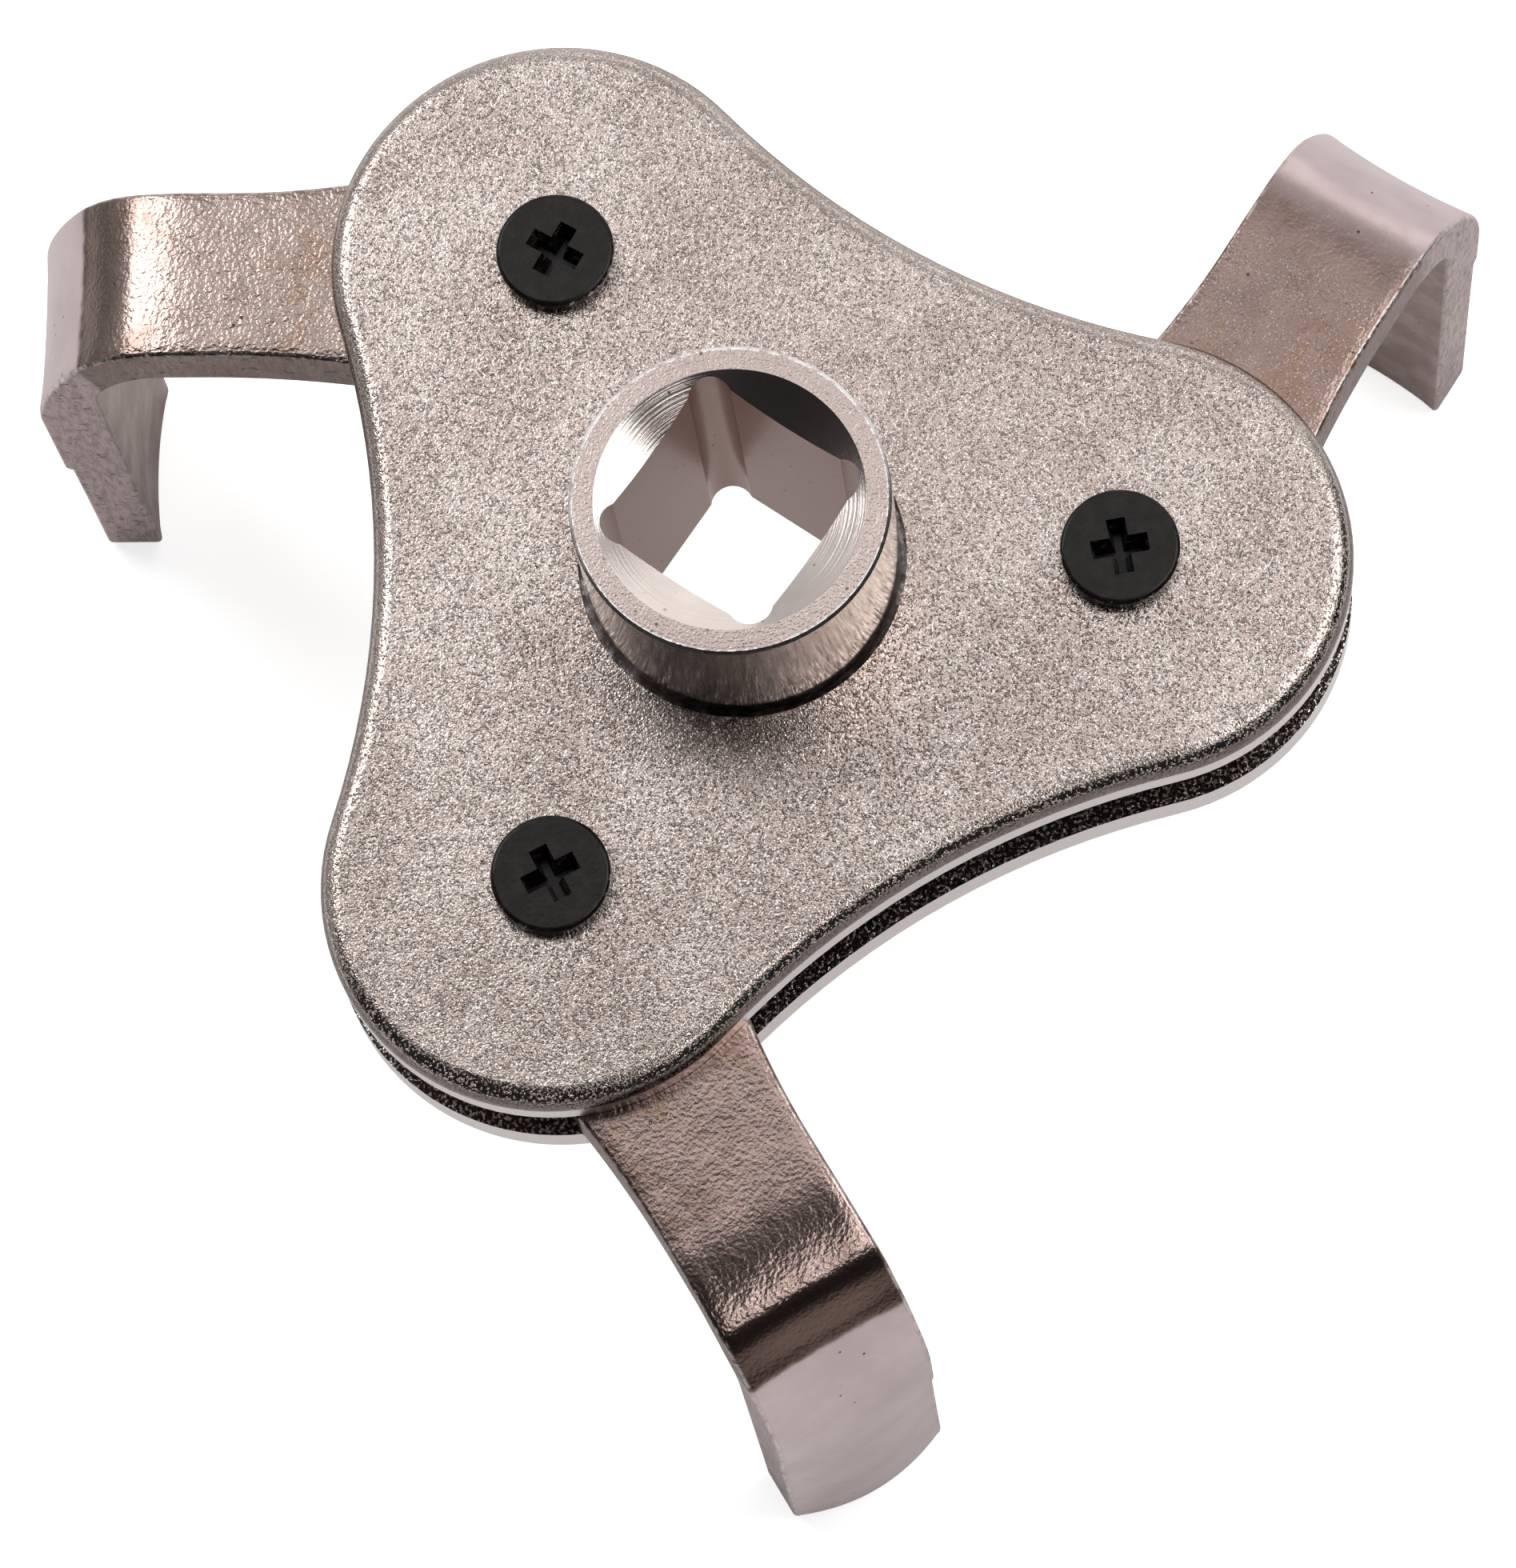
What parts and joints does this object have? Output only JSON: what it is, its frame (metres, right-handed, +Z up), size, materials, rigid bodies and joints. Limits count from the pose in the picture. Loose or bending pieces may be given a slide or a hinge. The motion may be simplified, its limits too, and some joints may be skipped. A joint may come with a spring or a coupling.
{
  "type": "oil filter wrench",
  "caption": "Geared three-jaw wrench for round filter canisters: trefoil plates, a square-socket hub and hooked jaws that close together.",
  "frame": {"origin": "on the hub's axis, in the plane of the jaw tips that the wrench stands on", "axes": "+Z up along the hub's axis, from the jaw tips to the socket's mouth; the jaw pivots lie at 60, 180 and 300 degrees from +X about +Z"},
  "size_m": [0.1008, 0.0961, 0.0585],
  "materials": {
    "plate_plating": "satin nickel plating over stamped steel, with a fine pebbled grain",
    "jaw_plating": "satin nickel plating over smooth bar, with small pits, stains and rougher cut edges",
    "hub_plating": "satin nickel plating over turned steel, with fine turning rings",
    "post_steel": "plain turned steel",
    "screw_black": "black oxide on steel, satin"
  },
  "bodies": {
    "frame": {"top_plate": "plate_plating", "bottom_plate": "plate_plating", "pivot_post_1": "post_steel", "pivot_post_2": "post_steel", "pivot_post_3": "post_steel", "pivot_screw_1": "screw_black", "pivot_screw_2": "screw_black", "pivot_screw_3": "screw_black"},
    "hub": {"drive_hub": "hub_plating"},
    "first_jaw": {"jaw_1": "jaw_plating"},
    "second_jaw": {"jaw_2": "jaw_plating"},
    "third_jaw": {"jaw_3": "jaw_plating"}
  },
  "joints": [
    {"name": "hub_turn", "type": "hinge", "parent": "frame", "child": "hub", "pos_m": [0, 0, 0], "axis": [0, 0, 1], "range_deg": [-45.9, 150.5]},
    {"name": "jaw_1_swing", "type": "hinge", "parent": "frame", "child": "first_jaw", "pos_m": [0.01275, 0.02208, 0], "axis": [0, 0, 1], "range_deg": [-169.4, 51.7]},
    {"name": "jaw_2_swing", "type": "hinge", "parent": "frame", "child": "second_jaw", "pos_m": [-0.0255, 0, 0], "axis": [0, 0, 1], "range_deg": [-169.4, 51.7]},
    {"name": "jaw_3_swing", "type": "hinge", "parent": "frame", "child": "third_jaw", "pos_m": [0.01275, -0.02208, 0], "axis": [0, 0, 1], "range_deg": [-169.4, 51.7]}
  ],
  "couplings": [
    {"joint": "jaw_1_swing", "follows": "hub_turn", "ratio": -1.125},
    {"joint": "jaw_2_swing", "follows": "hub_turn", "ratio": -1.125},
    {"joint": "jaw_3_swing", "follows": "hub_turn", "ratio": -1.125}
  ]
}
